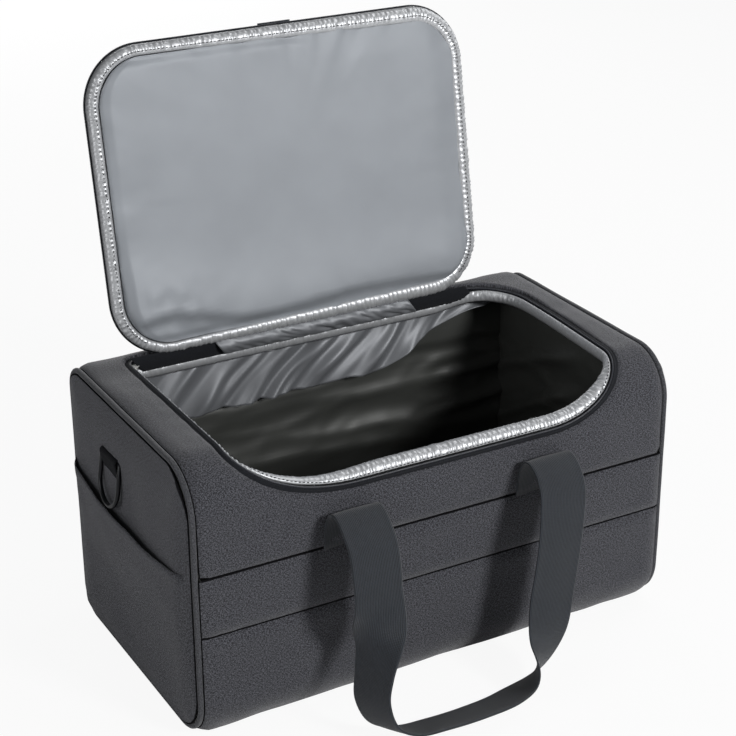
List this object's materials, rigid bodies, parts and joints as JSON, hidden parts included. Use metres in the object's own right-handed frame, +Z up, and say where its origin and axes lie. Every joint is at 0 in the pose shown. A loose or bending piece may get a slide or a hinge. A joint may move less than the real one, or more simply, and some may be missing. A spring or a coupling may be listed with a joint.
{
  "type": "soft insulated cooler bag",
  "caption": "Soft insulated cooler bag, a box with piped ends, webbing carrying handles and a zip-round lid that folds back from a large mouth over a silver lining.",
  "frame": {"origin": "centre of the overall box at the floor, under the bag's own centre", "axes": "+X to the bag's left-to-right as seen from the front, +Y from the front to the back, +Z up"},
  "size_m": [0.5476, 0.4768, 0.579],
  "materials": {
    "outer_cloth": "matte",
    "pocket_cloth": "matte",
    "piping_cloth": "matte",
    "webbing": "matte",
    "foam": "matte",
    "board": "matte",
    "tub_lining": "gloss",
    "silver_lining": "gloss",
    "lid_lining": "matte",
    "zip_cloth": "matte",
    "dark_metal": "satin"
  },
  "bodies": {
    "bag": {"end_panel_left": "outer_cloth", "end_panel_right": "outer_cloth", "foam_end_left": "foam", "foam_end_right": "foam", "piping_left": "piping_cloth", "piping_right": "piping_cloth", "side_pocket_left": "pocket_cloth", "side_pocket_right": "pocket_cloth", "top_panel": "outer_cloth", "front_band": "outer_cloth", "front_lower_panel": "outer_cloth", "bottom_panel": "outer_cloth", "back_panel": "outer_cloth", "foam_top": "foam", "foam_front": "foam", "foam_back": "foam", "foam_base": "foam", "base_board": "board", "liner_tub": "tub_lining", "rim_band": "silver_lining", "zip_body": "zip_cloth", "hinge_leaf_body": "outer_cloth", "handle_tab_front_left": "webbing", "handle_tab_front_right": "webbing", "handle_tab_back_left": "webbing", "handle_tab_back_right": "webbing", "ring_tab_left": "webbing", "ring_tab_right": "webbing"},
    "lid": {"lid_cover_main": "outer_cloth", "lid_foam_main": "foam", "lid_lining_main": "lid_lining", "lid_band_main": "silver_lining", "zip_main_left": "zip_cloth", "zip_main_right": "zip_cloth", "hinge_leaf_lid": "outer_cloth"},
    "lid_bend": {"lid_cover_bend": "outer_cloth", "lid_foam_bend": "foam", "lid_lining_bend": "lid_lining", "lid_band_bend_left": "silver_lining", "lid_band_bend_right": "silver_lining", "zip_bend_left": "zip_cloth", "zip_bend_right": "zip_cloth"},
    "lid_lip": {"lid_cover_lip": "outer_cloth", "lid_foam_lip": "foam", "lid_lining_lip": "lid_lining", "lid_band_lip": "silver_lining", "zip_lip": "zip_cloth", "lid_pull_tab": "webbing"},
    "handle_front": {"handle_front": "webbing"},
    "handle_back": {"handle_back": "webbing"},
    "d_ring_left": {"d_ring_left": "dark_metal"},
    "d_ring_right": {"d_ring_right": "dark_metal"},
    "zip_slider_left": {"zip_slider_left": "dark_metal"},
    "zip_slider_right": {"zip_slider_right": "dark_metal"},
    "zip_pull_left": {"zip_pull_left": "dark_metal"},
    "zip_pull_right": {"zip_pull_right": "dark_metal"}
  },
  "joints": [
    {"name": "lid_hinge", "type": "hinge", "parent": "bag", "child": "lid", "pos_m": [0, 0.113, 0.2835], "axis": [-1, 0, 0], "range_deg": [-100, 80]},
    {"name": "lid_bend_fold", "type": "hinge", "parent": "lid", "child": "lid_bend", "pos_m": [0, 0.14455, 0.51137], "axis": [-1, 0, 0], "range_deg": [-45, 0]},
    {"name": "lid_lip_fold", "type": "hinge", "parent": "lid_bend", "child": "lid_lip", "pos_m": [0, 0.15145, 0.55053], "axis": [-1, 0, 0], "range_deg": [-45, 0]},
    {"name": "handle_front_swing", "type": "hinge", "parent": "bag", "child": "handle_front", "pos_m": [0, -0.1813, 0.20772], "axis": [1, 0, 0], "range_deg": [-172, 0]},
    {"name": "handle_back_swing", "type": "hinge", "parent": "bag", "child": "handle_back", "pos_m": [0, 0.1813, 0.20772], "axis": [-1, 0, 0], "range_deg": [-172, 0]},
    {"name": "d_ring_left_swing", "type": "hinge", "parent": "bag", "child": "d_ring_left", "pos_m": [-0.26465, 0.028, 0.226], "axis": [0, 1, 0], "range_deg": [0, 150]},
    {"name": "d_ring_right_swing", "type": "hinge", "parent": "bag", "child": "d_ring_right", "pos_m": [0.26465, 0.028, 0.226], "axis": [0, -1, 0], "range_deg": [0, 150]},
    {"name": "zip_slider_left_run", "type": "slide", "parent": "bag", "child": "zip_slider_left", "axis": [-1, 0, 0], "range_m": [0, 0.024]},
    {"name": "zip_slider_right_run", "type": "slide", "parent": "bag", "child": "zip_slider_right", "axis": [1, 0, 0], "range_m": [0, 0.024]},
    {"name": "zip_pull_left_swing", "type": "hinge", "parent": "zip_slider_left", "child": "zip_pull_left", "pos_m": [-0.112, 0.109, 0.2835], "axis": [1, 0, 0], "range_deg": [0, 70]},
    {"name": "zip_pull_right_swing", "type": "hinge", "parent": "zip_slider_right", "child": "zip_pull_right", "pos_m": [0.112, 0.109, 0.2835], "axis": [1, 0, 0], "range_deg": [0, 70]}
  ]
}
